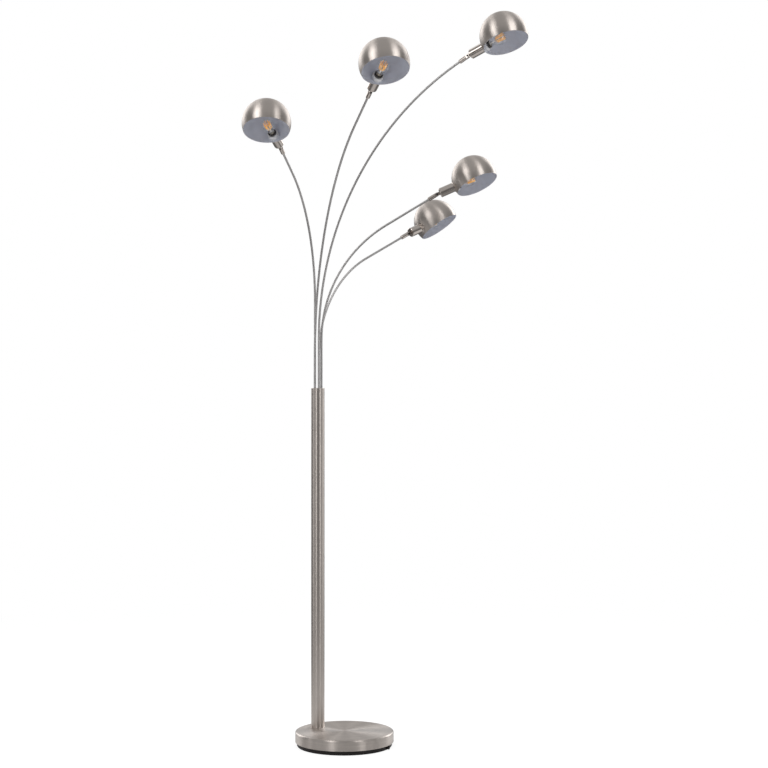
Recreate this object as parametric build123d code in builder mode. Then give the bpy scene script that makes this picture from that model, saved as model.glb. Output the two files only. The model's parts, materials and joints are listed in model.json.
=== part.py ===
from build123d import *
import os
from math import cos, radians, sin, sqrt

# Five-arm arc floor lamp, in millimetres.
# Origin: centre of the base on the floor. +Z is up, +X runs from the pole to the base's centre.

# Base
base_diameter = 278.0
cover_height = 30.0
cover_wall = 1.2
cover_edge_radius = 5.0
cover_lift = 12.0
skirt_inset = 5.0
mat_thickness = 2.0
mat_inset = 1.5
pan_floor = 2.0
pan_wall = 2.5
pan_height = 14.0
weight_clearance = 0.3
weight_rim = 25.0
recess_depth = 18.0
cord_slot_width = 10.0
cord_slot_height = 10.0

# Cable gland in the pan's side, turned from +X
gland_turn = 7.0
gland_diameter = 7.0
gland_bore = 5.6
gland_lip = 2.0
gland_reach = 6.0
gland_edge_radius = 1.5
gland_gap = 0.3

# Pole
pole_inset = 48.0
pole_diameter = 38.0
pole_wall = 1.2
pole_height = 1009.0
sleeve_length = 120.0
seam_chamfer = 0.4
coupling_length = 80.0
coupling_wall = 1.6
foot_length = 30.0
slip_fit = 0.05

# Hollow stud, washer and nut that clamp the pole to the base
stud_diameter = 10.0
stud_bore = 6.0
stud_engagement = 24.0
stud_tail = 1.5
stud_clearance = 0.5
thread_gap = 0.1
washer_diameter = 26.0
washer_thickness = 2.0
nut_width = 17.0
nut_height = 8.0
nut_pocket_gap = 2.0

# Hub in the pole's top
hub_floor = 8.5
hub_flange = 2.5
hub_flange_chamfer = 0.8
hub_edge = 4.15
hub_turn = -40.0
stem_depth = 42.0
stem_clearance = 0.06
lead_hole_diameter = 3.6
hub_screw_diameter = 4.0
hub_screw_depth = 25.0
hub_screw_gap = 0.1
terminal_width = 10.0
terminal_height = 22.0
terminal_bore = 3.0
terminal_bore_depth = 11.0
terminal_pitch = 5.0

# Arms, in order round the hub
arm_diameter = 6.4
arm_wall = 0.9
arm_azimuth = (-74.0, -39.0, 0.0, 33.7, 71.3)
stem_rise = (251.0, 88.0, 140.5, 138.0, 98.5)
bend_radius = (392.0, 684.0, 827.0, 382.0, 314.0)
bend_angle = (59.8, 62.4, 62.8, 58.7, 63.1)
tail_length = (119.0, 153.0, 42.0, 172.0, 181.0)
head_droop = (6.5, 2.2, 6.0, 7.4, 4.7)
shade_roll = (7.5, 0.0, -7.0, -16.0, -27.5)

# Knuckle: fork on the arm, tongue on the head, screw through both
fork_diameter = 12.0
fork_length = 30.0
fork_chamfer = 1.2
tube_setback = 11.0
slot_depth = 7.0
ear_thickness = 2.2
tongue_thickness = 4.0
tongue_radius = 4.8
tongue_gap = 0.1
knuckle_gap = 3.0
screw_diameter = 3.0
screw_clearance = 0.05
screw_head_diameter = 5.6
screw_head_height = 1.5
screw_head_edge = 0.4
screw_hex_width = 2.5
screw_hex_depth = 1.0

# Head cup
cup_diameter = 27.0
cup_length = 44.0
cup_wall = 1.2
cup_floor = 2.5
cup_chamfer = 1.5
flange_diameter = 30.0
flange_thickness = 1.4
flange_flare = 1.0

# Lamp holder, shade ring and bulb
holder_setback = 8.0
nose_diameter = 22.0
nose_length = 18.0
ring_diameter = 29.0
ring_thickness = 12.0
socket_depth = 23.0
socket_gap = 0.2
cap_diameter = 14.0
cap_rise = 1.5
contact_diameter = 5.0
contact_height = 1.5
bulb_diameter = 35.0
bulb_length = 50.0
bulb_neck_diameter = 13.0
bulb_neck_length = 4.0
bulb_wall = 0.8

# Globe shade
globe_diameter = 130.0
globe_wall = 0.8
mouth_drop = 21.5
seat_margin = 1.0
seat_gap = 0.1
hole_gap = 0.3

# Levels and radii that follow from the sizes above
arm_count = len(arm_azimuth)
base_radius = base_diameter / 2
pole_offset = base_radius - pole_inset
base_top = cover_lift + cover_height
pan_radius = base_radius - skirt_inset
mat_radius = pan_radius - mat_inset
weight_radius = pan_radius - pan_wall - weight_clearance
recess_radius = weight_radius - weight_rim
weight_bottom = mat_thickness + pan_floor
weight_top = base_top - cover_wall
recess_roof = weight_bottom + recess_depth
gland_height = cover_lift - gland_gap - gland_diameter / 2 - gland_lip
gland_direction = Vector(cos(radians(gland_turn)), sin(radians(gland_turn)), 0)
gland_axis = Axis((0, 0, gland_height), gland_direction)
pole_radius = pole_diameter / 2
pole_bore_radius = pole_radius - pole_wall
plug_radius = pole_bore_radius - slip_fit
seam_height = pole_height - sleeve_length
arm_radius = arm_diameter / 2
hub_pitch_radius = plug_radius - hub_edge - arm_radius
stem_foot = pole_height - stem_depth
hub_bottom = stem_foot - hub_floor
fork_radius = fork_diameter / 2
slot_width = tongue_thickness + 2 * tongue_gap
ear_face = slot_width / 2 + ear_thickness
cup_rear = fork_radius + knuckle_gap
cup_front = cup_rear + cup_length
cup_radius = cup_diameter / 2
cup_bore_radius = cup_radius - cup_wall
cup_inner_rear = cup_rear + cup_floor
nose_end = cup_front + nose_length
socket_bottom = nose_end - socket_depth
cap_end = nose_end + cap_rise
globe_radius = globe_diameter / 2
seat_radius = flange_diameter / 2 + seat_margin
seat_distance = sqrt(globe_radius**2 - seat_radius**2)
seat_face = cup_front + seat_gap
globe_reach = seat_face + seat_distance
ring_back = seat_face + globe_wall + seat_gap

pole_plane = Plane(origin=(-pole_offset, 0, 0))


def gland_plane(distance):
    """Plane square to the cable gland, a distance from the base's centre."""
    return Plane(origin=gland_axis.position + gland_direction * distance, z_dir=gland_direction)


def hole_angle(arm):
    """Direction of an arm's hole in the hub, in radians from +X."""
    step = 360 / arm_count
    return radians(hub_turn + step * (arm - (arm_count - 1) / 2))


def stem_place(arm):
    """Plan position of an arm's upright stem."""
    angle = hole_angle(arm)
    return hub_pitch_radius * cos(angle) - pole_offset, hub_pitch_radius * sin(angle)


def arm_plane(arm):
    """Upright plane of an arm: local x outwards, local y up, with the stem at local x = 0."""
    azimuth = radians(arm_azimuth[arm])
    outward = (cos(azimuth), sin(azimuth), 0)
    sideways = (sin(azimuth), -cos(azimuth), 0)
    return Plane(origin=(*stem_place(arm), 0), x_dir=outward, z_dir=sideways)


def bend_start(arm):
    """Height where an arm's stem begins to bend."""
    return pole_height + stem_rise[arm]


def tail_point(arm, distance):
    """Local point of the arm's plane on its straight tail, a distance past the bend."""
    turn = radians(bend_angle[arm])
    outward = bend_radius[arm] * (1 - cos(turn)) + distance * sin(turn)
    upward = bend_start(arm) + bend_radius[arm] * sin(turn) + distance * cos(turn)
    return outward, upward


def knuckle_plane(arm, droop):
    """Plane at an arm's knuckle: local x along the arm or head, local y up, local z along the screw."""
    upright = arm_plane(arm)
    lean = radians(bend_angle[arm] + droop)
    along = upright.x_dir * sin(lean) + upright.y_dir * cos(lean)
    centre = upright.from_local_coords((*tail_point(arm, tail_length[arm]), 0))
    return Plane(origin=centre, x_dir=along, z_dir=upright.z_dir)


def fork_plane(arm):
    """Knuckle plane in line with the arm's tail."""
    return knuckle_plane(arm, 0)


def head_plane(arm):
    """Knuckle plane in line with the head, which droops a little from the arm."""
    return knuckle_plane(arm, head_droop[arm])


def globe_plane(arm):
    """Plane at the centre of a globe: local x along the head, local z up, away from the mouth."""
    head = head_plane(arm)
    roll = radians(shade_roll[arm])
    upward = head.y_dir * cos(roll) + head.z_dir * sin(roll)
    centre = head.from_local_coords((globe_reach, 0, 0))
    return Plane(origin=centre, x_dir=head.x_dir, z_dir=upward)


def across(plane, distance):
    """Plane square to another plane's local x, a distance along it."""
    return Plane(origin=plane.from_local_coords((distance, 0, 0)), x_dir=plane.y_dir, z_dir=plane.x_dir)


def screw_plane(arm):
    """Plane square to a hub screw, with its origin where the screw's tip stops short of the stem."""
    angle = hole_angle(arm)
    outward = Vector(cos(angle), sin(angle), 0)
    reach = hub_pitch_radius + arm_radius + hub_screw_gap
    level = pole_height - hub_screw_depth
    return Plane(origin=Vector(-pole_offset, 0, level) + outward * reach, z_dir=outward)


os.makedirs("parts", exist_ok=True)


def keep(piece, name):
    """Label a finished piece and write it under that name."""
    piece.label = name
    export_step(piece, f"parts/{name}.step")


# Soft mat under the base
with BuildPart() as base_mat:
    with BuildSketch():
        Circle(mat_radius)
    extrude(amount=mat_thickness)
keep(base_mat.part, "base_mat")

# Black pan that shows as a ring under the cover
with BuildPart() as base_pan:
    with BuildSketch(Plane.XY.offset(mat_thickness)):
        Circle(pan_radius)
    extrude(amount=pan_height)
    with BuildSketch(Plane.XY.offset(weight_bottom)):
        Circle(pan_radius - pan_wall)
    extrude(amount=pan_height, mode=Mode.SUBTRACT)
    with BuildSketch(gland_plane(pan_radius)):
        Circle(gland_diameter / 2 + slip_fit)
    extrude(amount=-pan_wall - gland_gap, mode=Mode.SUBTRACT)
keep(base_pan.part, "base_pan")

# Cable gland in the pan's side, with a round-edged boss outside
with BuildPart() as cable_gland:
    with BuildSketch(gland_plane(pan_radius - pan_wall)):
        Circle(gland_diameter / 2)
    extrude(amount=pan_wall)
    with BuildSketch(gland_plane(pan_radius)):
        Circle(gland_diameter / 2 + gland_lip)
    extrude(amount=gland_reach)
    fillet(cable_gland.faces().sort_by(gland_axis)[-1].edges(), gland_edge_radius)
    with BuildSketch(gland_plane(pan_radius - pan_wall)):
        Circle(gland_bore / 2)
    extrude(amount=pan_wall + gland_reach, mode=Mode.SUBTRACT)
keep(cable_gland.part, "cable_gland")

# Cast weight with a recess for the nut and a slot for the lead
with BuildPart() as base_weight:
    with BuildSketch(Plane.XY.offset(weight_bottom)):
        Circle(weight_radius)
    extrude(amount=weight_top - weight_bottom)
    with BuildSketch(Plane.XY.offset(weight_bottom)):
        Circle(recess_radius)
        with Locations((-pole_offset, 0)):
            Circle(washer_diameter / 2 + nut_pocket_gap)
    extrude(amount=recess_depth, mode=Mode.SUBTRACT)
    with BuildSketch(Plane(origin=(0, 0, weight_bottom), x_dir=gland_direction)):
        with Locations((weight_radius, 0)):
            Rectangle(2 * weight_rim + cord_slot_width, cord_slot_width)
    extrude(amount=cord_slot_height, mode=Mode.SUBTRACT)
    with BuildSketch(pole_plane.offset(weight_bottom)):
        Circle(stud_diameter / 2 + stud_clearance)
    extrude(amount=weight_top - weight_bottom, mode=Mode.SUBTRACT)
keep(base_weight.part, "base_weight")

# Spun cover over the weight
with BuildPart() as base_cover:
    with BuildSketch(Plane.XY.offset(cover_lift)):
        Circle(base_radius)
    extrude(amount=cover_height)
    fillet(base_cover.faces().sort_by(Axis.Z)[-1].edges(), cover_edge_radius)
    offset(amount=-cover_wall, openings=base_cover.faces().sort_by(Axis.Z)[0])
    with BuildSketch(pole_plane.offset(cover_lift)):
        Circle(stud_diameter / 2 + stud_clearance)
    extrude(amount=cover_height, mode=Mode.SUBTRACT)
keep(base_cover.part, "base_cover")

# Washer, nut and hollow stud
with BuildPart() as pole_washer:
    with BuildSketch(pole_plane.offset(recess_roof - washer_thickness)):
        Circle(washer_diameter / 2)
        Circle(stud_diameter / 2 + stud_clearance, mode=Mode.SUBTRACT)
    extrude(amount=washer_thickness)
keep(pole_washer.part, "pole_washer")

nut_bottom = recess_roof - washer_thickness - nut_height
with BuildPart() as pole_nut:
    with BuildSketch(pole_plane.offset(nut_bottom)):
        RegularPolygon(nut_width / 2, 6, major_radius=False)
        Circle(stud_diameter / 2 + thread_gap, mode=Mode.SUBTRACT)
    extrude(amount=nut_height)
keep(pole_nut.part, "pole_nut")

stud_bottom = nut_bottom - stud_tail
with BuildPart() as pole_stud:
    with BuildSketch(pole_plane.offset(stud_bottom)):
        Circle(stud_diameter / 2)
        Circle(stud_bore / 2, mode=Mode.SUBTRACT)
    extrude(amount=base_top + stud_engagement - stud_bottom)
keep(pole_stud.part, "pole_stud")

# Threaded plug in the pole's lower end
with BuildPart() as pole_foot:
    with BuildSketch(pole_plane.offset(base_top)):
        Circle(plug_radius)
        Circle(stud_diameter / 2 + thread_gap, mode=Mode.SUBTRACT)
    extrude(amount=foot_length)
keep(pole_foot.part, "pole_foot")

# Pole tube, inner coupling and top sleeve
with BuildPart() as pole_tube:
    with BuildSketch(pole_plane.offset(base_top)):
        Circle(pole_radius)
        Circle(pole_bore_radius, mode=Mode.SUBTRACT)
    extrude(amount=seam_height - base_top)
    chamfer(pole_tube.faces().sort_by(Axis.Z)[-1].outer_wire().edges(), seam_chamfer)
keep(pole_tube.part, "pole_tube")

with BuildPart() as pole_coupling:
    with BuildSketch(pole_plane.offset(seam_height - coupling_length / 2)):
        Circle(plug_radius)
        Circle(plug_radius - coupling_wall, mode=Mode.SUBTRACT)
    extrude(amount=coupling_length)
keep(pole_coupling.part, "pole_coupling")

with BuildPart() as pole_sleeve:
    with BuildSketch(pole_plane.offset(seam_height)):
        Circle(pole_radius)
        Circle(pole_bore_radius, mode=Mode.SUBTRACT)
    extrude(amount=sleeve_length - hub_flange)
    chamfer(pole_sleeve.faces().sort_by(Axis.Z)[0].outer_wire().edges(), seam_chamfer)
keep(pole_sleeve.part, "pole_sleeve")

# Hub with a stepped hole and a side screw for each stem
with BuildPart() as arm_hub:
    with BuildSketch(pole_plane.offset(hub_bottom)):
        Circle(plug_radius)
    extrude(amount=pole_height - hub_flange - hub_bottom)
    with BuildSketch(pole_plane.offset(pole_height - hub_flange)):
        Circle(pole_radius)
    extrude(amount=hub_flange)
    chamfer(arm_hub.faces().sort_by(Axis.Z)[-1].edges(), hub_flange_chamfer)
    with BuildSketch(Plane.XY.offset(stem_foot)):
        with Locations(*[stem_place(arm) for arm in range(arm_count)]):
            Circle(arm_radius + stem_clearance)
    extrude(amount=stem_depth, mode=Mode.SUBTRACT)
    with BuildSketch(Plane.XY.offset(hub_bottom)):
        with Locations(*[stem_place(arm) for arm in range(arm_count)]):
            Circle(lead_hole_diameter / 2)
    extrude(amount=hub_floor, mode=Mode.SUBTRACT)
    for arm in range(arm_count):
        with BuildSketch(screw_plane(arm)):
            Circle(hub_screw_diameter / 2 + thread_gap)
        extrude(amount=hub_edge, mode=Mode.SUBTRACT)
        with BuildSketch(screw_plane(arm)):
            Circle(hub_screw_diameter / 2 + thread_gap)
        extrude(amount=-arm_radius, mode=Mode.SUBTRACT)
keep(arm_hub.part, "arm_hub")

with BuildPart() as hub_screws:
    for arm in range(arm_count):
        with BuildSketch(screw_plane(arm)):
            Circle(hub_screw_diameter / 2)
        extrude(amount=hub_edge - 2 * hub_screw_gap)
keep(hub_screws.part, "hub_screws")

# Terminal block screwed under the hub
with BuildPart() as terminal_block:
    with BuildSketch(pole_plane.offset(hub_bottom - terminal_height)):
        Rectangle(terminal_width, terminal_width)
    extrude(amount=terminal_height)
    with BuildSketch(pole_plane.offset(hub_bottom - terminal_height)):
        with GridLocations(terminal_pitch, terminal_pitch, 2, 2):
            Circle(terminal_bore / 2)
    extrude(amount=terminal_bore_depth, mode=Mode.SUBTRACT)
keep(terminal_block.part, "terminal_block")

# Arms and heads
for arm in range(arm_count):
    number = arm + 1
    upright = arm_plane(arm)
    fork_side = fork_plane(arm)
    head_side = head_plane(arm)
    globe = globe_plane(arm)
    head_axis = Axis(head_side.origin, head_side.x_dir)

    # Bent tube: upright stem, one bend, straight tail
    with BuildPart() as arm_tube:
        with BuildLine(upright) as route:
            Line((0, stem_foot + seat_gap), (0, bend_start(arm)))
            CenterArc((bend_radius[arm], bend_start(arm)), bend_radius[arm], 180, -bend_angle[arm])
            Line(tail_point(arm, 0), tail_point(arm, tail_length[arm] - tube_setback))
        with BuildSketch(Plane(origin=(*stem_place(arm), stem_foot + seat_gap))):
            Circle(arm_radius)
            Circle(arm_radius - arm_wall, mode=Mode.SUBTRACT)
        sweep(path=route.wires()[0])
    keep(arm_tube.part, f"arm_{number}_tube")

    # Fork: sleeve on the tube with a domed end, slotted for the tongue
    with BuildPart() as fork:
        with BuildSketch(fork_side):
            with BuildLine():
                Polyline(
                    (fork_radius, 0),
                    (-fork_length, 0),
                    (-fork_length, fork_radius - fork_chamfer),
                    (fork_chamfer - fork_length, fork_radius),
                    (0, fork_radius),
                )
                RadiusArc((0, fork_radius), (fork_radius, 0), fork_radius)
            make_face()
        revolve(axis=Axis(fork_side.origin, fork_side.x_dir))
        with BuildSketch(fork_side):
            with Locations(((fork_radius - slot_depth) / 2, 0)):
                Rectangle(fork_radius + slot_depth, fork_diameter)
        extrude(amount=slot_width / 2, both=True, mode=Mode.SUBTRACT)
        for face in (ear_face, -fork_radius):
            with BuildSketch(fork_side.offset(face)):
                with Locations(((fork_radius - slot_depth) / 2, 0)):
                    Rectangle(fork_radius + slot_depth, fork_diameter)
            extrude(amount=fork_radius - ear_face, mode=Mode.SUBTRACT)
        with BuildSketch(fork_side):
            Circle(screw_diameter / 2 + screw_clearance)
        extrude(amount=fork_radius, both=True, mode=Mode.SUBTRACT)
        with BuildSketch(across(fork_side, -fork_length)):
            Circle(arm_radius + slip_fit)
        extrude(amount=fork_length - tube_setback, mode=Mode.SUBTRACT)
        with BuildSketch(across(fork_side, -tube_setback)):
            Circle(arm_radius - arm_wall)
        extrude(amount=tube_setback - slot_depth, mode=Mode.SUBTRACT)
    keep(fork.part, f"arm_{number}_fork")

    # Knuckle screw with a hex head on one ear and a peened end on the other
    with BuildPart() as screw:
        with BuildSketch(fork_side):
            Circle(screw_diameter / 2)
        extrude(amount=ear_face, both=True)
        for face in (ear_face, -ear_face - screw_head_height):
            with BuildSketch(fork_side.offset(face)):
                Circle(screw_head_diameter / 2)
            extrude(amount=screw_head_height)
        for end in (-1, 0):
            fillet(screw.faces().sort_by(Axis(fork_side.origin, fork_side.z_dir))[end].edges(), screw_head_edge)
        with BuildSketch(fork_side.offset(ear_face + screw_head_height)):
            RegularPolygon(screw_hex_width / 2, 6, major_radius=False)
        extrude(amount=-screw_hex_depth, mode=Mode.SUBTRACT)
    keep(screw.part, f"arm_{number}_knuckle_screw")

    # Cup with a tongue at its rear and a flared flange against the shade
    with BuildPart() as cup:
        with BuildSketch(head_side):
            with BuildLine():
                Polyline(
                    (cup_rear, 0),
                    (cup_rear, cup_radius - cup_chamfer),
                    (cup_rear + cup_chamfer, cup_radius),
                    (cup_front - flange_thickness - flange_flare, cup_radius),
                    (cup_front - flange_thickness, flange_diameter / 2),
                    (cup_front, flange_diameter / 2),
                    (cup_front, cup_bore_radius),
                    (cup_inner_rear, cup_bore_radius),
                    (cup_inner_rear, 0),
                    close=True,
                )
            make_face()
        revolve(axis=head_axis)
        with BuildSketch(head_side):
            Circle(tongue_radius)
            with Locations((cup_rear / 2, 0)):
                Rectangle(cup_rear, 2 * tongue_radius)
        extrude(amount=tongue_thickness / 2, both=True)
        with BuildSketch(head_side):
            Circle(screw_diameter / 2 + screw_clearance)
        extrude(amount=tongue_thickness, both=True, mode=Mode.SUBTRACT)
        with BuildSketch(across(head_side, cup_rear)):
            with Locations(((tongue_radius + cup_bore_radius) / 2, 0)):
                Circle(lead_hole_diameter / 2)
        extrude(amount=cup_floor, mode=Mode.SUBTRACT)
    keep(cup.part, f"head_{number}_cup")

    # Lamp holder with its nose through the shade
    with BuildPart() as holder:
        with BuildSketch(across(head_side, cup_inner_rear + holder_setback)):
            Circle(cup_bore_radius - slip_fit)
        extrude(amount=cup_length - cup_floor - holder_setback)
        with BuildSketch(across(head_side, cup_front)):
            Circle(nose_diameter / 2)
        extrude(amount=nose_length)
        with BuildSketch(across(head_side, socket_bottom)):
            Circle(cap_diameter / 2 + socket_gap)
        extrude(amount=socket_depth, mode=Mode.SUBTRACT)
    keep(holder.part, f"head_{number}_lamp_holder")

    # Ring on the holder's nose, inside the shade
    with BuildPart() as ring:
        with BuildSketch(across(head_side, ring_back)):
            Circle(ring_diameter / 2)
            Circle(nose_diameter / 2 + slip_fit, mode=Mode.SUBTRACT)
        extrude(amount=ring_thickness)
    keep(ring.part, f"head_{number}_shade_ring")

    # Bulb cap with its centre contact on the socket's floor
    with BuildPart() as bulb_cap:
        with BuildSketch(across(head_side, socket_bottom)):
            Circle(contact_diameter / 2)
        extrude(amount=contact_height)
        with BuildSketch(across(head_side, socket_bottom + contact_height)):
            Circle(cap_diameter / 2)
        extrude(amount=socket_depth + cap_rise - contact_height)
    keep(bulb_cap.part, f"head_{number}_bulb_cap")

    # Bulb glass: neck, swelling shoulder and round end, open at the neck
    round_centre = cap_end + bulb_length - bulb_diameter / 2
    shoulder = cap_end + bulb_neck_length
    rise = (bulb_diameter - bulb_neck_diameter) / 2
    shoulder_radius = ((round_centre - shoulder) ** 2 + rise**2) / (2 * rise)
    with BuildPart() as bulb_glass:
        with BuildSketch(head_side):
            with BuildLine():
                Line((cap_end, 0), (cap_end, bulb_neck_diameter / 2))
                Line((cap_end, bulb_neck_diameter / 2), (shoulder, bulb_neck_diameter / 2))
                RadiusArc((shoulder, bulb_neck_diameter / 2), (round_centre, bulb_diameter / 2), shoulder_radius)
                RadiusArc((round_centre, bulb_diameter / 2), (cap_end + bulb_length, 0), bulb_diameter / 2)
                Line((cap_end + bulb_length, 0), (cap_end, 0))
            make_face()
        revolve(axis=head_axis)
        offset(amount=-bulb_wall, openings=bulb_glass.faces().sort_by(head_axis)[0])
    keep(bulb_glass.part, f"head_{number}_bulb_glass")

    # Space inside the globe, flat where the shade seats on the cup
    with BuildPart() as hollow:
        with Locations(globe.location):
            Sphere(globe_radius - globe_wall)
        split(bisect_by=across(globe, globe_wall - seat_distance), keep=Keep.TOP)

    # Globe shade: shell with an open mouth, a flat seat and a hole for the holder's nose
    with BuildPart() as shade:
        with Locations(globe.location):
            Sphere(globe_radius)
        split(bisect_by=globe.offset(-mouth_drop), keep=Keep.TOP)
        split(bisect_by=across(globe, -seat_distance), keep=Keep.TOP)
        add(hollow.part, mode=Mode.SUBTRACT)
        with BuildSketch(across(globe, -seat_distance)):
            Circle(nose_diameter / 2 + hole_gap)
        extrude(amount=globe_wall, mode=Mode.SUBTRACT)
    keep(shade.part, f"shade_{number}_globe")
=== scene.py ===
"""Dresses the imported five-arm floor lamp and lights it in a plain white studio."""

import json
import logging
import math
from collections.abc import Sequence
from dataclasses import dataclass, field
from enum import Enum, IntEnum
from typing import Any, Union

import bmesh
import bpy
from mathutils import Matrix, Vector


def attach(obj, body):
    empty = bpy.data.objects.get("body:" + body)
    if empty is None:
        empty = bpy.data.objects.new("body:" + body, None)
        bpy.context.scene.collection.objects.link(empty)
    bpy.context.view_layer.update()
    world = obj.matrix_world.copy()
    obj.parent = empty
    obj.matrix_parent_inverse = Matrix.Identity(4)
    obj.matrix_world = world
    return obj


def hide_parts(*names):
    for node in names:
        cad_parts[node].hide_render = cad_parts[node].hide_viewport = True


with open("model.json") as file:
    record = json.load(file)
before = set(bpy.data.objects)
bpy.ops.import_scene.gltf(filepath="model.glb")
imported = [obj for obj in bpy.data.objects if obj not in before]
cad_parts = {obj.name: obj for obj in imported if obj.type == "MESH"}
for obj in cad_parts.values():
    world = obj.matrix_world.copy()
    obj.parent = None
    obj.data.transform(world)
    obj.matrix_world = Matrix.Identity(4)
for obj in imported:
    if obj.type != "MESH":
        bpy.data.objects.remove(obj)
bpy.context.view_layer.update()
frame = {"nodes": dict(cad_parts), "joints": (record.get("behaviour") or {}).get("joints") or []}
log = logging.getLogger("floor_lamp")

Colour = tuple[float, float, float]
Number = Union[int, float, "Signal"]
Point = tuple[float, float]
Span = tuple[float, float]

ARM_COUNT = 5
MILLIMETRE = 0.001
POLE_CENTRE: Point = (-0.091, 0.0)
NICKEL: Colour = (0.60, 0.545, 0.505)
WHITE: Colour = (1.0, 1.0, 1.0)
ON_AXIS = 1e-7  # a profile's point with a smaller radius lies on the axis
SHARP_ANGLE = math.radians(35.0)  # edges that bend more than this stay sharp
DOME_ANGLE = 60.0  # reach of a rod's domed end, in degrees
DOME_STEPS = 2


class Brushing(Enum):
    """How a metal surface was brushed."""

    RINGS = "in rings round the piece's own upright axis"
    PLAIN = "too fine to show a direction"


class Skin(IntEnum):
    """Material slots of a shade."""

    BARE = 0
    PAINTED = 1


class Filament(IntEnum):
    """Material slots of a bulb's inside."""

    PHOSPHOR = 0
    WIRE = 1
    POST = 2


class Signal:
    """A socket's output, on which Python's operators add Math nodes."""

    def __init__(self, graph: "Graph", socket: bpy.types.NodeSocket) -> None:
        """Keep the graph and the socket that the signal comes from."""
        self.graph = graph
        self.socket = socket

    def join(self, operation: str, first: Number, second: Number = 0.0) -> "Signal":
        """Add one Math node.

        Args:
            operation: Name of the Math node's operation.
            first: Value or signal of the first input.
            second: Value or signal of the second input.

        Returns:
            The node's result.
        """
        return self.graph.add("ShaderNodeMath", {"operation": operation}, {0: first, 1: second}).out()

    def __add__(self, other: Number) -> "Signal":
        """Sum of the signal and another."""
        return self.join("ADD", self, other)

    def __radd__(self, other: Number) -> "Signal":
        """Sum of a number and the signal."""
        return self.join("ADD", other, self)

    def __sub__(self, other: Number) -> "Signal":
        """The signal less another."""
        return self.join("SUBTRACT", self, other)

    def __rsub__(self, other: Number) -> "Signal":
        """A number less the signal."""
        return self.join("SUBTRACT", other, self)

    def __mul__(self, other: Number) -> "Signal":
        """Product of the signal and another."""
        return self.join("MULTIPLY", self, other)

    def __rmul__(self, other: Number) -> "Signal":
        """Product of a number and the signal."""
        return self.join("MULTIPLY", other, self)

    def __truediv__(self, other: Number) -> "Signal":
        """The signal divided by another."""
        return self.join("DIVIDE", self, other)

    def __rtruediv__(self, other: Number) -> "Signal":
        """A number divided by the signal."""
        return self.join("DIVIDE", other, self)

    def __pow__(self, other: Number) -> "Signal":
        """The signal raised to a power."""
        return self.join("POWER", self, other)

    def __abs__(self) -> "Signal":
        """The signal without its sign."""
        return self.join("ABSOLUTE", self)

    def root(self) -> "Signal":
        """Square root of the signal."""
        return self.join("SQRT", self)

    def angle(self, across: "Signal") -> "Signal":
        """Angle of a direction, of which the signal is the rise and the other the run."""
        return self.join("ARCTAN2", self, across)

    def smooth(self, span: Span) -> "Signal":
        """The signal eased from 0 at the span's low value to 1 at its high one."""
        settings = {"interpolation_type": "SMOOTHSTEP"}
        return self.graph.add("ShaderNodeMapRange", settings, {0: self, 1: span[0], 2: span[1]}).out()


class Placed:
    """A node in a graph."""

    def __init__(self, graph: "Graph", node: bpy.types.Node) -> None:
        """Keep the graph and the node."""
        self.graph = graph
        self.node = node

    def out(self, key: int | str = 0) -> Signal:
        """One of the node's outputs, by place or name."""
        return Signal(self.graph, self.node.outputs[key])


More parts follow.
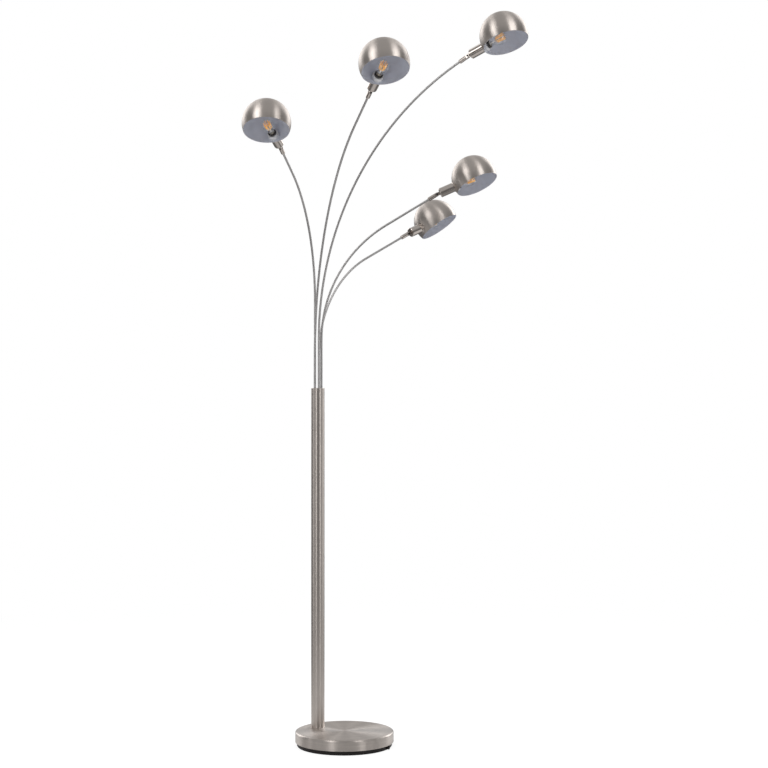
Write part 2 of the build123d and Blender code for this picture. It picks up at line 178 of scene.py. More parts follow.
class Graph:
    """A node tree to which one method adds any node."""

    def __init__(self, owner: bpy.types.Material | bpy.types.World) -> None:
        """Empty the owner's node tree and keep it."""
        owner.use_nodes = True
        self.tree = owner.node_tree
        self.tree.nodes.clear()

    def add(
        self,
        kind: str,
        settings: dict[str, Any] | None = None,
        inputs: dict[int | str, Any] | None = None,
    ) -> Placed:
        """Add a node, set it up and feed its sockets.

        Args:
            kind: The node's type.
            settings: Properties of the node, which are set first.
            inputs: Values or signals of its sockets, by place or name.

        Returns:
            The placed node.
        """
        node = self.tree.nodes.new(kind)
        for key, value in (settings or {}).items():
            setattr(node, key, value)
        for key, value in (inputs or {}).items():
            socket = node.inputs[key]
            if isinstance(value, Signal):
                self.tree.links.new(value.socket, socket)
            elif isinstance(value, tuple) and socket.type == "RGBA":
                socket.default_value = (*value, 1.0)
            else:
                socket.default_value = value
        return Placed(self, node)

    def blend(self, factor: Number, low: Any, high: Any) -> Signal:
        """Mix two colours.

        Args:
            factor: Share of the high colour.
            low: Colour or signal at factor 0.
            high: Colour or signal at factor 1.

        Returns:
            The mixed colour.
        """
        return self.add("ShaderNodeMix", {"data_type": "RGBA"}, {0: factor, 6: low, 7: high}).out(2)

    def mix(self, factor: Signal, first: Signal, second: Signal) -> Signal:
        """Mix two shaders.

        Args:
            factor: Share of the second shader.
            first: Shader at factor 0.
            second: Shader at factor 1.

        Returns:
            The mixed shader.
        """
        return self.add("ShaderNodeMixShader", {}, {0: factor, 1: first, 2: second}).out()

    def matte(self, level: float) -> Signal:
        """Shader of a matte grey."""
        return self.add("ShaderNodeBsdfDiffuse", {}, {"Color": grey(level)}).out()

    def lit(self, level: float) -> Signal:
        """Shader of a grey that gives its own light."""
        return self.add("ShaderNodeEmission", {}, {"Color": grey(level), "Strength": 1.0}).out()

    def place(self) -> Signal:
        """Position in the piece's own frame."""
        return self.add("ShaderNodeTexCoord").out("Object")

    def parts(self, vector: Signal) -> tuple[Signal, Signal, Signal]:
        """The three numbers of a vector."""
        split = self.add("ShaderNodeSeparateXYZ", {}, {0: vector})
        return split.out(0), split.out(1), split.out(2)

    def vector(self, x: Number, y: Number, z: Number) -> Signal:
        """A vector of three numbers."""
        return self.add("ShaderNodeCombineXYZ", {}, {0: x, 1: y, 2: z}).out()

    def noise(self, vector: Signal, scale: float, detail: float) -> Signal:
        """Soft noise about one half.

        Args:
            vector: Where to read the noise.
            scale: Bumps per unit of the vector.
            detail: Octaves of finer noise.

        Returns:
            The noise, from 0 to 1.
        """
        inputs = {"Vector": vector, "Scale": scale, "Detail": detail}
        return self.add("ShaderNodeTexNoise", {}, inputs).out()

    def bump(self, height: Signal, strength: float, distance: float) -> Signal:
        """Normal that follows a height.

        Args:
            height: The height, from 0 to 1.
            strength: Share of the bump that shows.
            distance: Real height of the bump in metres.

        Returns:
            The bumped normal.
        """
        inputs = {"Strength": strength, "Distance": distance, "Height": height}
        return self.add("ShaderNodeBump", {}, inputs).out()

    def surface(self, inputs: dict[int | str, Any]) -> None:
        """Feed a Principled shader with these inputs to the material's output."""
        self.close(self.add("ShaderNodeBsdfPrincipled", {}, inputs).out())

    def close(self, shader: Signal, kind: str = "ShaderNodeOutputMaterial") -> None:
        """Feed a shader to the tree's output."""
        self.add(kind, {}, {"Surface": shader})


def new_surface(name: str) -> tuple[bpy.types.Material, Graph]:
    """Start a material.

    Args:
        name: The material's name.

    Returns:
        The material and its empty graph.
    """
    material = bpy.data.materials.new(name)
    return material, Graph(material)


def grey(level: float) -> Colour:
    """The grey of a level."""
    return level, level, level


def shaded(colour: Colour, share: float) -> Colour:
    """A colour made darker or lighter by a share."""
    red, green, blue = (min(1.0, channel * share) for channel in colour)
    return red, green, blue


def tones(colour: Colour, contrast: float) -> tuple[Colour, Colour]:
    """The darkest and the lightest tone of a colour that varies by a contrast."""
    return shaded(colour, 1 - contrast), shaded(colour, 1 + contrast)


@dataclass(frozen=True)
class BrushedMetal:
    """Satin metal with fine brushing.

    Attributes:
        name: The material's name.
        colour: Mean colour.
        roughness: Mean roughness.
        anisotropy: How far the gloss is drawn out across the brushing.
        brushing: Direction of the brushing.
        centre: Where the axis of brushed rings stands.
        line_pitch: Width of the finest lines.
        band_pitch: Width of the bands that the lines form.
        contrast: How far the tone varies.
        arcs: Bands' noise per radian round the axis.
        relief: Share of the lines' height that bends the gloss.
        line_height: Height of the lines.
        line_share: Share of the lines in the tone, of which the bands have the rest.
        line_detail: Octaves of the lines' noise.
        band_detail: Octaves of the bands' noise.
        gloss_spread: How far the roughness varies.
        gloss_turn: Direction of the drawn-out gloss, in whole turns.
    """

    name: str
    colour: Colour
    roughness: float
    anisotropy: float = 0.0
    brushing: Brushing = Brushing.PLAIN
    centre: Point = (0.0, 0.0)
    line_pitch: float = 0.6 * MILLIMETRE
    band_pitch: float = 4.0 * MILLIMETRE
    contrast: float = 0.08
    arcs: float = 0.5
    relief: float = 0.015
    line_height: float = 0.02 * MILLIMETRE
    line_share: float = 0.6
    line_detail: float = 3.0
    band_detail: float = 1.0
    gloss_spread: float = 0.1
    gloss_turn: float = 0.25

    def make(self) -> bpy.types.Material:
        """Build the material.

        Returns:
            The finished material.
        """
        material, graph = new_surface(self.name)
        x, y, z = graph.parts(graph.place())
        if self.brushing is Brushing.RINGS:
            across, along = x - self.centre[0], y - self.centre[1]
            radius = (across * across + along * along).root()
            angle = along.angle(across)
            fine = graph.vector(angle, radius / self.line_pitch, z / self.line_pitch)
            broad = graph.vector(angle * self.arcs, radius / self.band_pitch, z / self.band_pitch)
        else:
            fine = graph.vector(x / self.line_pitch, y / self.line_pitch, z / self.line_pitch)
            broad = graph.vector(x / self.band_pitch, y / self.band_pitch, z / self.band_pitch)
        lines = graph.noise(fine, 1.0, self.line_detail)
        bands = graph.noise(broad, 1.0, self.band_detail)
        streak = lines * self.line_share + bands * (1 - self.line_share)
        inputs = {
            "Base Color": graph.blend(streak, *tones(self.colour, self.contrast)),
            "Metallic": 1.0,
            "Roughness": self.roughness * (1 - self.gloss_spread + streak * (2 * self.gloss_spread)),
            "Anisotropic": self.anisotropy,
            "Anisotropic Rotation": self.gloss_turn,
        }
        if self.brushing is Brushing.RINGS and self.relief > 0:
            inputs["Normal"] = graph.bump(lines, self.relief, self.line_height)
        graph.surface(inputs)
        return material


@dataclass(frozen=True)
class Moulding:
    """Plastic, rubber, painted or cast surfaces with a fine grain.

    Attributes:
        name: The material's name.
        colour: Mean colour.
        roughness: Mean roughness.
        grain: Width of the grain.
        relief: Height of the grain.
        mottle: How far the tone varies.
        specular: Level of the gloss.
        glow: Strength of a painted glow in its own colour, on a piece that gives no light.
        detail: Octaves of the noise.
        cloud_scale: The grain's width in the width of the clouds.
        grain_share: Share of the grain in the tone, of which the clouds have the rest.
        gloss_spread: How far the roughness varies.
        bump_share: Share of the grain's height that shows.
    """

    name: str
    colour: Colour
    roughness: float
    grain: float = 0.8 * MILLIMETRE
    relief: float = 0.04 * MILLIMETRE
    mottle: float = 0.06
    specular: float = 0.5
    glow: float = 0.0
    detail: float = 2.0
    cloud_scale: float = 0.05
    grain_share: float = 0.4
    gloss_spread: float = 0.15
    bump_share: float = 0.25

    def make(self) -> bpy.types.Material:
        """Build the material.

        Returns:
            The finished material.
        """
        material, graph = new_surface(self.name)
        place = graph.place()
        grain = graph.noise(place, 1 / self.grain, self.detail)
        cloud = graph.noise(place, self.cloud_scale / self.grain, self.detail)
        tone = grain * self.grain_share + cloud * (1 - self.grain_share)
        graph.surface({
            "Base Color": graph.blend(tone, *tones(self.colour, self.mottle)),
            "Roughness": self.roughness * (1 - self.gloss_spread + tone * (2 * self.gloss_spread)),
            "Specular IOR Level": self.specular,
            "Emission Color": self.colour,
            "Emission Strength": self.glow,
            "Normal": graph.bump(grain, self.bump_share, self.relief),
        })
        return material


@dataclass(frozen=True)
class ClearGlass:
    """Thin clear bulb glass, which mirrors a little face on and more along its edge.

    Attributes:
        name: The material's name.
        colour: Colour of what it mirrors.
        face_share: Share that it mirrors face on.
        edge_share: Share that it mirrors besides along its edge.
        edge_power: How close to the edge that share keeps.
        facing_blend: Layer Weight's blend, plain at one half.
        roughness: Least roughness.
        film: Roughness that a faint film adds.
        film_scale: The film's spots per metre.
        film_detail: Octaves of the film's noise.
    """

    name: str = "bulb_glass"
    colour: Colour = (0.95, 0.96, 0.97)
    face_share: float = 0.08
    edge_share: float = 0.50
    edge_power: int = 3
    facing_blend: float = 0.5
    roughness: float = 0.03
    film: float = 0.04
    film_scale: float = 60.0
    film_detail: float = 3.0

    def make(self) -> bpy.types.Material:
        """Build the material.

        Returns:
            The finished material.
        """
        material, graph = new_surface(self.name)
        film = graph.noise(graph.place(), self.film_scale, self.film_detail)
        facing = graph.add("ShaderNodeLayerWeight", {}, {"Blend": self.facing_blend}).out("Facing")
        graph.surface({
            "Base Color": self.colour,
            "Metallic": 1.0,
            "Roughness": self.roughness + film * self.film,
            "Alpha": self.face_share + facing**self.edge_power * self.edge_share,
        })
        return material


@dataclass(frozen=True)
class FloorPaper:
    """Floor that is white with a faint shadow for the camera, and duller in metal and glass.

    Attributes:
        name: The material's name.
        paper: Level of the floor for light that it throws on the lamp.
        boards: Level of the darker floor that metal and glass show.
        near_boards: Share of those boards close to the lamp, which is whole further off.
        shadow: Level of what takes the lamp's shadow.
        glow: Level that is left in the shadow.
        mirror_share: Share of the camera's white floor that metal shows close to the lamp.
        white_span: Radii between which the shadow gives way to plain white.
        board_span: Radii between which the boards take over in metal and glass.
    """

    name: str = "floor_paper"
    paper: float = 0.82
    boards: float = 0.25
    near_boards: float = 0.25
    shadow: float = 0.30
    glow: float = 0.84
    mirror_share: float = 0.2
    white_span: Span = (0.5, 3.0)
    board_span: Span = (0.4, 1.6)

    def make(self) -> bpy.types.Material:
        """Build the material.

        Returns:
            The finished material.
        """
        material, graph = new_surface(self.name)
        material.cycles.emission_sampling = "NONE"
        path = graph.add("ShaderNodeLightPath")
        mirrored = path.out("Is Glossy Ray") + path.out("Is Transmission Ray")
        x, y, _ = graph.parts(graph.place())
        radius = (x * x + y * y).root()
        away, far = radius.smooth(self.white_span), radius.smooth(self.board_span)
        board_share = (self.near_boards + far * (1 - self.near_boards)) * mirrored
        dull = graph.mix(board_share, graph.matte(self.paper), graph.matte(self.boards))
        layers = {0: graph.matte(self.shadow), 1: graph.lit(self.glow)}
        near = graph.add("ShaderNodeAddShader", {}, layers).out()
        bright = graph.mix(away, near, graph.lit(1.0))
        bright_share = path.out("Is Camera Ray") + mirrored * (1 - far) * self.mirror_share
        graph.close(graph.mix(bright_share, dull, bright))
        return material


def finish(look: BrushedMetal | Moulding | ClearGlass) -> Any:
    """Dataclass field that holds the material of a look."""
    return field(default_factory=look.make)


@dataclass
class Finishes:
    """All finishes of the lamp, made once."""

    ring_steel: bpy.types.Material = finish(BrushedMetal(
        "ring_brushed_steel", NICKEL, roughness=0.36, anisotropy=0.9, brushing=Brushing.RINGS,
    ))
    # Painted shade: the base cover's steel is the same nickel made darker, standing in for the dimmer light
    # that its top reflects.
    base_steel_painted_shade: bpy.types.Material = finish(BrushedMetal(
        "base_brushed_steel", shaded(NICKEL, 0.87), roughness=0.36, anisotropy=0.93,
        brushing=Brushing.RINGS, band_pitch=14 * MILLIMETRE, contrast=0.35, arcs=1.5,
    ))
    pole_steel: bpy.types.Material = finish(BrushedMetal(
        "pole_brushed_steel", NICKEL, roughness=0.3, anisotropy=0.5,
        brushing=Brushing.RINGS, centre=POLE_CENTRE, contrast=0.03, relief=0.0,
    ))
    arm_steel: bpy.types.Material = finish(BrushedMetal(
        "arm_brushed_steel", (0.56, 0.545, 0.54), roughness=0.36, contrast=0.02,
    ))
    cup_steel: bpy.types.Material = finish(BrushedMetal("cup_turned_steel", NICKEL, roughness=0.14))
    zinc: bpy.types.Material = finish(BrushedMetal("zinc_plate", (0.55, 0.55, 0.53), roughness=0.42))
    screw: bpy.types.Material = finish(BrushedMetal("black_screw", (0.05, 0.05, 0.052), roughness=0.4))
    # Partly painted shade: the globes are painted inside, but this grey-blue is darker and bluer than that
    # paint, standing in for the shade within them.
    paint: bpy.types.Material = finish(Moulding(
        "inside_coat_and_shade", (0.62, 0.64, 0.71), roughness=0.36, grain=1.2 * MILLIMETRE,
    ))
    black: bpy.types.Material = finish(Moulding(
        "black_pan", (0.0125, 0.0085, 0.008), roughness=0.5, specular=0.3,
    ))
    mat: bpy.types.Material = finish(Moulding("foam_mat", (0.02, 0.02, 0.021), roughness=0.9))
    iron: bpy.types.Material = finish(Moulding(
        "cast_iron", (0.10, 0.10, 0.105), roughness=0.7, grain=1.5 * MILLIMETRE,
    ))
    holder: bpy.types.Material = finish(Moulding(
        "holder_moulding", (0.035, 0.032, 0.030), roughness=0.45,
    ))
    ring: bpy.types.Material = finish(Moulding(
        "shade_ring_moulding", (0.70, 0.70, 0.71), roughness=0.45,
    ))
    terminal: bpy.types.Material = finish(Moulding(
        "terminal_moulding", (0.78, 0.77, 0.74), roughness=0.5,
    ))
    cap: bpy.types.Material = finish(BrushedMetal("bulb_cap_metal", (0.70, 0.66, 0.58), roughness=0.3))
    glass: bpy.types.Material = finish(ClearGlass())
    # Painted light: the phosphor of the unlit filaments gets a faint glow in its own amber.
    phosphor: bpy.types.Material = finish(Moulding(
        "filament_phosphor", (0.90, 0.48, 0.12), roughness=0.6, grain=0.4 * MILLIMETRE, glow=0.25,
    ))
    wire: bpy.types.Material = finish(BrushedMetal("filament_wire", (0.66, 0.62, 0.55), roughness=0.3))


def dress(looks: dict[str, bpy.types.Material]) -> None:
    """Give CAD nodes their materials.

    Args:
        looks: Each node's material, by the node's name.
    """
    for node, material in looks.items():
        slots = frame["nodes"][node].data.materials
        slots.clear()
        slots.append(material)
        log.info("dressed %s with %s", node, material.name)


def link(name: str, mesh: bpy.types.Mesh) -> bpy.types.Object:
    """Make an object of a mesh.

    Args:
        name: The piece's name.
        mesh: Its mesh.

    Returns:
        The linked object.
    """
    piece = bpy.data.objects.new(name, mesh)
    bpy.context.scene.collection.objects.link(piece)
    log.info("built %s with %d faces", name, len(mesh.polygons))
    return piece


def soften(bm: bmesh.types.BMesh) -> None:
    """Shade every face smooth and keep the sharp edges."""
    for face in bm.faces:
        face.smooth = True
    for edge in bm.edges:
        edge.smooth = len(edge.link_faces) == 2 and edge.calc_face_angle(0.0) < SHARP_ANGLE


def settle(
    bm: bmesh.types.BMesh,
    name: str,
    materials: Sequence[bpy.types.Material],
    creases: Sequence[bmesh.types.BMEdge] = (),
) -> bpy.types.Mesh:
    """Turn a finished bmesh into a mesh.

    Args:
        bm: The bmesh, which is freed.
        name: The mesh's name.
        materials: Its materials, in slot order.
        creases: Edges that stay sharp, however flat they are.

    Returns:
        The mesh.
    """
    soften(bm)
    for edge in creases:
        edge.smooth = False
    mesh = bpy.data.meshes.new(name)
    bm.to_mesh(mesh)
    bm.free()
    for material in materials:
        mesh.materials.append(material)
    return mesh


def arc(centre: Point, radius: float, start: float, end: float, steps: int) -> list[Point]:
    """Points along an arc.

    Args:
        centre: The arc's centre.
        radius: Its radius.
        start: First angle in degrees.
        end: Last angle in degrees.
        steps: Number of stretches.

    Returns:
        The points, both ends included.
    """
    angles = [math.radians(start + (end - start) * step / steps) for step in range(steps + 1)]
    return [(centre[0] + radius * math.cos(a), centre[1] + radius * math.sin(a)) for a in angles]


def lathe(bm: bmesh.types.BMesh, profile: Sequence[Point], segments: int, slot: int = 0) -> None:
    """Turn a profile about local Z.

    Args:
        bm: The bmesh to add to.
        profile: Points as (radius, height).
        segments: Number of steps round the axis.
        slot: Material slot of the faces.
    """
    rings: list[list[bmesh.types.BMVert]] = []
    for radius, height in profile:
        if radius < ON_AXIS:
            rings.append([bm.verts.new((0.0, 0.0, height))])
            continue
        turns = [2 * math.pi * step / segments for step in range(segments)]
        rings.append([bm.verts.new((radius * math.cos(t), radius * math.sin(t), height)) for t in turns])
    for lower, upper in zip(rings, rings[1:]):
        for step in range(segments):
            after = (step + 1) % segments
            corners = [lower[step % len(lower)], lower[after % len(lower)]]
            corners += [upper[after % len(upper)], upper[step % len(upper)]]
            unique = list(dict.fromkeys(corners))
            if len(unique) > 2:
                bm.faces.new(unique).material_index = slot


def turn_about_x(vert: bmesh.types.BMVert) -> float:
    """Turn of a point about local X, in radians."""
    return math.atan2(vert.co.z, vert.co.y)


def zip_rings(
    bm: bmesh.types.BMesh, first: list[bmesh.types.BMVert], second: list[bmesh.types.BMVert], slot: int
) -> None:
    """Join two rings round local X by a band of triangles.

    Args:
        bm: The bmesh to add to.
        first: Points of one ring, sorted by their turn.
        second: Points of the other ring, sorted by their turn.
        slot: Material slot of the faces.
    """

    def turn(ring: list[bmesh.types.BMVert], step: int) -> float:
        """Turn of a ring's point, counted on past a whole turn."""
        rounds, place = divmod(step, len(ring))
        return turn_about_x(ring[place]) + 2 * math.pi * rounds

    here, there = 0, 0
    while here < len(first) or there < len(second):
        start, end = first[here % len(first)], second[there % len(second)]
        first_is_next = turn(first, here + 1) <= turn(second, there + 1)
        if there >= len(second) or (here < len(first) and first_is_next):
            here += 1
            corner = first[here % len(first)]
        else:
            there += 1
            corner = second[there % len(second)]
        bm.faces.new((start, end, corner)).material_index = slot


def rod(
    bm: bmesh.types.BMesh, start: Vector, end: Vector, radius: float, slot: int, sides: int
) -> None:
    """Add a round rod with domed ends between two points.

    Args:
        bm: The bmesh to add to.
        start: Centre of the first end.
        end: Centre of the last end.
        radius: The rod's radius.
        slot: Material slot of the faces.
        sides: Number of sides.
    """
    along = end - start
    turn = along.to_track_quat("Z", "Y").to_matrix().to_4x4()
    place = Matrix.Translation(start) @ turn
    length = along.length
    profile = [(0.0, 0.0), *arc((0.0, radius), radius, -DOME_ANGLE, 0, DOME_STEPS)]
    profile += [*arc((0.0, length - radius), radius, 0, DOME_ANGLE, DOME_STEPS), (0.0, length)]
    part = bmesh.new()
    lathe(part, profile, sides, slot)
    bmesh.ops.recalc_face_normals(part, faces=part.faces)
    bmesh.ops.transform(part, matrix=place, verts=part.verts)
    held = bpy.data.meshes.new("rod")
    part.to_mesh(held)
    part.free()
    bm.from_mesh(held)
    bpy.data.meshes.remove(held)


def joint(name: str) -> dict[str, Any]:
    """The frame's joint of that name."""
    return next(entry for entry in frame["joints"] if entry["name"] == name)


@dataclass
class HeadPlace:
    """Where one head sits, read from the frame's joints."""

    number: int
    pin: Vector = field(init=False)
    centre: Vector = field(init=False)
    axis: Vector = field(init=False)
    upward: Vector = field(init=False)
    roll: float = field(init=False)

    def __post_init__(self) -> None:
        """Read the tilt and roll joints."""
        tilt = joint(f"head_{self.number}_tilt")
        turn = joint(f"shade_{self.number}_roll")
        self.pin = Vector(tilt["pos_m"])
        self.centre = Vector(turn["pos_m"])
        self.axis = Vector(turn["axis"]).normalized()
        self.upward = Vector(tilt["axis"]).cross(self.axis).normalized()
        self.roll = -math.radians(sum(turn["range_deg"]) / 2)

    def globe_matrix(self) -> Matrix:
        """Frame at the globe's centre: X along the head, Z away from the mouth."""
        screw = self.axis.cross(self.upward)
        top = self.upward * math.cos(self.roll) + screw * math.sin(self.roll)
        return self.basis(self.axis, top, self.centre)

    def head_matrix(self) -> Matrix:
        """Frame at the knuckle's pin: Z along the head, Y up."""
        side = self.upward.cross(self.axis)
        return self.basis(side, self.axis, self.pin)

    @staticmethod
    def basis(x: Vector, z: Vector, origin: Vector) -> Matrix:
        """Matrix of a frame.

        Args:
            x: Direction of local X.
            z: Direction of local Z, square to X.
            origin: Place of the frame.

        Returns:
            The frame's matrix.
        """
        y = z.cross(x)
        turn = Matrix((x, y, z)).transposed().to_4x4()
        return Matrix.Translation(origin) @ turn


@dataclass
class Shade:
    """Globe shade: brushed outside, painted inside, with a rounded lip and a flat seat for its cup."""

    finishes: Finishes
    radius: float = 65.0 * MILLIMETRE
    wall: float = 0.8 * MILLIMETRE
    mouth_drop: float = 21.5 * MILLIMETRE
    seat_radius: float = 16.0 * MILLIMETRE
    hole_radius: float = 11.3 * MILLIMETRE
    lip: float = 0.25 * MILLIMETRE
    segments: int = 144
    steps: int = 56
    lip_steps: int = 3
    hole_segments: int = 64

    def profile(self) -> list[Point]:
        """Half section from the outer pole down round the lip and up to the inner pole.

        Returns:
            Points as (radius, height).
        """
        inner = self.radius - self.wall
        low = self.lip - self.mouth_drop
        outer_edge = math.sqrt(self.radius**2 - low**2)
        inner_edge = math.sqrt(inner**2 - low**2)
        outside = arc((0.0, 0.0), self.radius, 90, math.degrees(math.asin(low / self.radius)), self.steps)
        inside = arc((0.0, 0.0), inner, math.degrees(math.asin(low / inner)), 90, self.steps)
        outer_lip = arc((outer_edge - self.lip, low), self.lip, 0, -90, self.lip_steps)
        inner_lip = arc((inner_edge + self.lip, low), self.lip, -90, -180, self.lip_steps)
        return [*outside[:-1], *outer_lip, *inner_lip, *inside[1:]]

    def mesh(self) -> bpy.types.Mesh:
        """Build the shell in the globe's frame.

        Returns:
            The mesh, bare outside and painted inside.
        """
        bm = bmesh.new()
        lathe(bm, self.profile(), self.segments)
        middle = self.radius - self.wall / 2
        for face in bm.faces:
            is_inside = face.calc_center_median().length < middle
            face.material_index = Skin.PAINTED if is_inside else Skin.BARE
        seat = math.sqrt(self.radius**2 - self.seat_radius**2)
        outer_rim, outer_hole = self.flatten(bm, Skin.BARE, seat)
        inner_rim, inner_hole = self.flatten(bm, Skin.PAINTED, seat - self.wall)
        zip_rings(bm, outer_hole, inner_hole, Skin.BARE)
        bmesh.ops.recalc_face_normals(bm, faces=bm.faces)
        materials = (self.finishes.ring_steel, self.finishes.paint)
        return settle(bm, "globe", materials, outer_rim + inner_rim)

    def flatten(
        self, bm: bmesh.types.BMesh, skin: Skin, reach: float
    ) -> tuple[list[bmesh.types.BMEdge], list[bmesh.types.BMVert]]:
        """Cut one skin flat where the cup sits and leave the lamp holder's hole in it.

        Args:
            bm: The shell.
            skin: The skin to cut.
            reach: Distance of the flat from the globe's centre.

        Returns:
            The edges round the flat and the points round the hole.
        """
        faces = [face for face in bm.faces if face.material_index == skin]
        edges = list({edge for face in faces for edge in face.edges})
        verts = list({vert for face in faces for vert in face.verts})
        cut = bmesh.ops.bisect_plane(
            bm, geom=verts + edges + faces, plane_co=(-reach, 0, 0), plane_no=(-1, 0, 0), clear_outer=True
        )
        rim = [item for item in cut["geom_cut"] if isinstance(item, bmesh.types.BMEdge)]
        border = sorted({vert for edge in rim for vert in edge.verts}, key=turn_about_x)
        turns = [math.pi * (2 * step / self.hole_segments - 1) for step in range(1, self.hole_segments + 1)]
        spots = [(-reach, self.hole_radius * math.cos(t), self.hole_radius * math.sin(t)) for t in turns]
        hole = [bm.verts.new(spot) for spot in spots]
        zip_rings(bm, border, hole, skin)
        return rim, hole


@dataclass
class FilamentBulb:
    """Sticks, wires and post inside one clear bulb, in the head's frame."""

    finishes: Finishes
    foot: float = 72.5 * MILLIMETRE
    post_radius: float = 2.4 * MILLIMETRE
    post_height: float = 18.0 * MILLIMETRE
    post_sides: int = 20
    sticks: int = 8
    stick_radius: float = 1.5 * MILLIMETRE
    stick_start: float = 20.5 * MILLIMETRE
    stick_end: float = 44.0 * MILLIMETRE
    stick_sides: int = 14
    foot_circle: float = 7.0 * MILLIMETRE
    top_circle: float = 8.8 * MILLIMETRE
    crown_rise: float = 1.5 * MILLIMETRE
    wire_radius: float = 0.35 * MILLIMETRE
    wire_sides: int = 8

    def mesh(self) -> bpy.types.Mesh:
        """Build the cluster.

        Returns:
            The mesh, with slots for phosphor, wire and post.
        """
        bm = bmesh.new()
        post_top = self.above_foot(self.post_height)
        rod(bm, self.above_foot(0.0), post_top, self.post_radius, Filament.POST, self.post_sides)
        crown = self.above_foot(self.stick_end + self.crown_rise)
        self.wire(bm, post_top, crown)
        for stick in range(self.sticks):
            turn = 2 * math.pi * stick / self.sticks
            outward = Vector((math.cos(turn), math.sin(turn), 0.0))
            low = outward * self.foot_circle + self.above_foot(self.stick_start)
            high = outward * self.top_circle + self.above_foot(self.stick_end)
            rod(bm, low, high, self.stick_radius, Filament.PHOSPHOR, self.stick_sides)
            self.wire(bm, post_top - Vector((0.0, 0.0, self.post_radius)), low)
            self.wire(bm, crown, high)
        return settle(bm, "filaments", (self.finishes.phosphor, self.finishes.wire, self.finishes.terminal))

    def above_foot(self, height: float) -> Vector:
        """Point on the bulb's axis, a height above its foot."""
        return Vector((0.0, 0.0, self.foot + height))

    def wire(self, bm: bmesh.types.BMesh, start: Vector, end: Vector) -> None:
        """Add a wire between two points."""
        rod(bm, start, end, self.wire_radius, Filament.WIRE, self.wire_sides)


@dataclass
class Stand:
    """Base, pole and hub, which keep their CAD shapes."""

    finishes: Finishes

    def build(self) -> None:
        """Dress every node of the stand."""
        dress({
            "base_mat": self.finishes.mat,
            "base_pan": self.finishes.black,
            "cable_gland": self.finishes.black,
            "base_weight": self.finishes.iron,
            "base_cover": self.finishes.base_steel_painted_shade,
            "pole_washer": self.finishes.zinc,
            "pole_nut": self.finishes.zinc,
            "pole_stud": self.finishes.zinc,
            "pole_foot": self.finishes.zinc,
            "pole_tube": self.finishes.pole_steel,
            "pole_coupling": self.finishes.zinc,
            "pole_sleeve": self.finishes.pole_steel,
            "arm_hub": self.finishes.pole_steel,
            "hub_screws": self.finishes.zinc,
            "terminal_block": self.finishes.terminal,
        })


@dataclass
class Branch:
    """One arm with its head, bulb and shade."""

    number: int
    finishes: Finishes

    def build(self, globe: bpy.types.Mesh, filaments: bpy.types.Mesh) -> None:
        """Dress the branch's nodes and add its shade and filaments.

        Args:
            globe: Mesh that all shades share.
            filaments: Mesh that all bulbs share.
        """
        number = self.number
        dress({
            f"arm_{number}_tube": self.finishes.arm_steel,
            f"arm_{number}_fork": self.finishes.cup_steel,
            f"arm_{number}_knuckle_screw": self.finishes.screw,
            f"head_{number}_cup": self.finishes.cup_steel,
            f"head_{number}_lamp_holder": self.finishes.holder,
            f"head_{number}_shade_ring": self.finishes.ring,
            f"head_{number}_bulb_cap": self.finishes.cap,
            f"head_{number}_bulb_glass": self.finishes.glass,
        })
        where = HeadPlace(number)
        shade = link(f"shade_{number}_shell", globe)
        shade.matrix_world = where.globe_matrix()
        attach(shade, f"shade_{number}")
        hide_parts(f"shade_{number}_globe")
        cluster = link(f"bulb_{number}_filaments", filaments)
        cluster.matrix_world = where.head_matrix()
        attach(cluster, f"head_{number}")


@dataclass
class PhotoCamera:
    """Level camera at the photograph's viewing angle.

    Attributes:
        turn: Turn about Z from looking along +Y.
        distance: Distance in front of the base's centre.
        sideways: Shift to the right of it.
        height: Height above the floor.
        focal_pixels: Focal length in the photograph's pixels.
        image_pixels: The photograph's width.
        sensor: Width of the camera's sensor in millimetres.
    """

    turn: float = math.radians(32.0)
    distance: float = 4.704
    sideways: float = 0.1116
    height: float = 1.0204
    focal_pixels: float = 1665.0
    image_pixels: float = 768.0
    sensor: float = 36.0

    def right(self) -> Vector:
        """Direction to the right of the picture."""
        return Vector((math.cos(self.turn), math.sin(self.turn), 0.0))

    def ahead(self) -> Vector:
        """Direction of view."""
        return Vector((-math.sin(self.turn), math.cos(self.turn), 0.0))

    def build(self) -> None:
        """Place the camera and make it the scene's."""
        data = bpy.data.cameras.new("photo_camera")
        data.sensor_width = self.sensor
        data.lens = self.focal_pixels * self.sensor / self.image_pixels
        camera = bpy.data.objects.new("photo_camera", data)
        bpy.context.scene.collection.objects.link(camera)
        place = self.right() * self.sideways - self.ahead() * self.distance
        camera.location = place + Vector((0.0, 0.0, self.height))
        camera.rotation_euler = self.ahead().to_track_quat("-Z", "Y").to_euler()
        bpy.context.scene.camera = camera


@dataclass
class Softbox:
    """A soft rectangular lamp.

    Attributes:
        name: The lamp's name.
        bearing: Degrees round the base's centre, from the camera to its right.
        distance: Distance from the base's centre.
        height: Height above the floor.
        width: Width of the light.
        tall: Height of the light.
        radiance: How bright the light looks, where 1 is white.
        aim: Height above the base's centre at which it points.
    """

    name: str
    bearing: float
    distance: float
    height: float
    width: float
    tall: float
    radiance: float
    aim: float

    def build(self, camera: PhotoCamera) -> None:
        """Place the lamp and aim it.

        Args:
            camera: Camera from which the bearing is counted.
        """
        data = bpy.data.lights.new(self.name, "AREA")
        data.shape = "RECTANGLE"
        data.size, data.size_y = self.width, self.tall
        data.energy = self.radiance * math.pi * self.width * self.tall
        lamp = bpy.data.objects.new(self.name, data)
        bpy.context.scene.collection.objects.link(lamp)
        lamp.visible_camera = False
        angle = math.radians(self.bearing)
        outward = camera.right() * math.sin(angle) - camera.ahead() * math.cos(angle)
        lamp.location = outward * self.distance + Vector((0.0, 0.0, self.height))
        target = Vector((0.0, 0.0, self.aim))
        lamp.rotation_euler = (target - lamp.location).to_track_quat("-Z", "Y").to_euler()


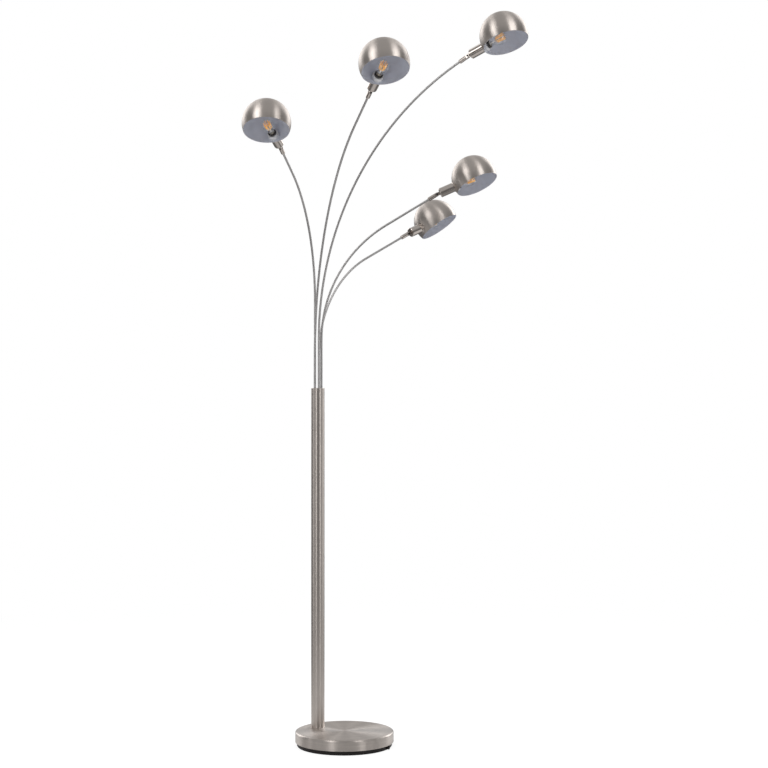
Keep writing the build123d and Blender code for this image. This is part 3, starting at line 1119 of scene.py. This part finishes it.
@dataclass
class Surround:
    """White for the camera, and for every other ray a dim room with a backdrop behind the lamp.

    The backdrop is bright at either side and greyer in the middle, and the room's walls are dark at
    either side. Each span is in the parts of a ray's direction: ahead, aside or up.

    Attributes:
        room_low: Level of the room near the floor.
        room_high: Level of the room's ceiling.
        room_side: Level of the walls at either side.
        backdrop: Level of the backdrop at either side.
        middle: Level of the backdrop in the middle.
        rise_span: From the low to the high level of the room, up.
        wall_span: From the room to its side walls, aside.
        wing_span: From the middle to the sides of the backdrop, aside.
        depth_span: From the room to the backdrop, ahead.
        horizon_span: From the room to the backdrop, up from the horizon.
        top_span: From the backdrop to the room, up.
    """

    room_low: float = 0.18
    room_high: float = 0.50
    room_side: float = 0.2
    backdrop: float = 2.4
    middle: float = 0.65
    rise_span: Span = (0.05, 0.5)
    wall_span: Span = (0.6, 0.95)
    wing_span: Span = (0.24, 0.47)
    depth_span: Span = (0.4, 0.62)
    horizon_span: Span = (-0.02, 0.16)
    top_span: Span = (0.7, 0.98)

    def build(self, camera: PhotoCamera) -> None:
        """Make the world.

        Args:
            camera: Camera whose view the backdrop closes.
        """
        world = bpy.data.worlds.new("studio")
        bpy.context.scene.world = world
        graph = Graph(world)
        seen = graph.add("ShaderNodeLightPath").out("Is Camera Ray")
        x, y, up = graph.parts(graph.add("ShaderNodeTexCoord").out("Generated"))
        view, right = camera.ahead(), camera.right()
        ahead = x * view.x + y * view.y
        aside = abs(x * right.x + y * right.y)
        behind = ahead.smooth(self.depth_span) * up.smooth(self.horizon_span)
        behind = behind * (1 - up.smooth(self.top_span))
        room = graph.blend(up.smooth(self.rise_span), grey(self.room_low), grey(self.room_high))
        walls = graph.blend(aside.smooth(self.wall_span), room, grey(self.room_side))
        sheet = graph.blend(aside.smooth(self.wing_span), grey(self.middle), grey(self.backdrop))
        colour = graph.blend(seen, graph.blend(behind, walls, sheet), WHITE)
        light = graph.add("ShaderNodeBackground", {}, {"Color": colour, "Strength": 1.0}).out()
        graph.close(light, "ShaderNodeOutputWorld")


@dataclass
class Studio:
    """Floor, surround and lamps."""

    camera: PhotoCamera
    floor_radius: float = 60.0
    floor_segments: int = 96
    lamps: tuple[Softbox, ...] = (
        Softbox(
            "left_key", bearing=-44.0, distance=2.0, height=2.80, aim=1.8,
            width=0.90, tall=1.8, radiance=2.6,
        ),
        Softbox(
            "right_key", bearing=46.0, distance=1.6, height=2.50, aim=1.8,
            width=0.68, tall=1.4, radiance=1.75,
        ),
        Softbox(
            "left_strip", bearing=-27.0, distance=2.5, height=1.0, aim=0.8,
            width=0.6, tall=2.0, radiance=1.35,
        ),
        Softbox(
            "right_strip", bearing=43.0, distance=2.5, height=1.0, aim=0.8,
            width=0.6, tall=2.0, radiance=1.35,
        ),
        Softbox(
            "left_fill", bearing=-62.0, distance=2.5, height=0.7, aim=0.7,
            width=0.8, tall=1.5, radiance=0.35,
        ),
        Softbox(
            "right_fill", bearing=66.0, distance=2.5, height=0.7, aim=0.7,
            width=0.7, tall=1.5, radiance=0.35,
        ),
        Softbox(
            "left_side", bearing=-84.0, distance=2.2, height=0.65, aim=0.7,
            width=0.5, tall=1.5, radiance=0.8,
        ),
        Softbox(
            "right_side", bearing=108.0, distance=2.2, height=0.65, aim=0.7,
            width=2.0, tall=1.5, radiance=0.6,
        ),
    )

    def build(self) -> None:
        """Make the surround, the floor and the lamps."""
        bpy.context.scene.view_settings.view_transform = "Standard"
        Surround().build(self.camera)
        self.floor()
        for lamp in self.lamps:
            lamp.build(self.camera)

    def floor(self) -> None:
        """Lay a wide round floor under the lamp."""
        bm = bmesh.new()
        bmesh.ops.create_circle(bm, cap_ends=True, radius=self.floor_radius, segments=self.floor_segments)
        floor = link("floor", settle(bm, "floor", (FloorPaper().make(),)))


def main() -> None:
    """Build and dress the lamp, then its studio."""
    logging.basicConfig(level=logging.INFO, format="%(name)s: %(message)s")
    finishes = Finishes()
    Stand(finishes).build()
    globe = Shade(finishes).mesh()
    filaments = FilamentBulb(finishes).mesh()
    for number in range(1, ARM_COUNT + 1):
        Branch(number, finishes).build(globe, filaments)
    camera = PhotoCamera()
    camera.build()
    Studio(camera).build()


if __name__ == "__main__":
    main()
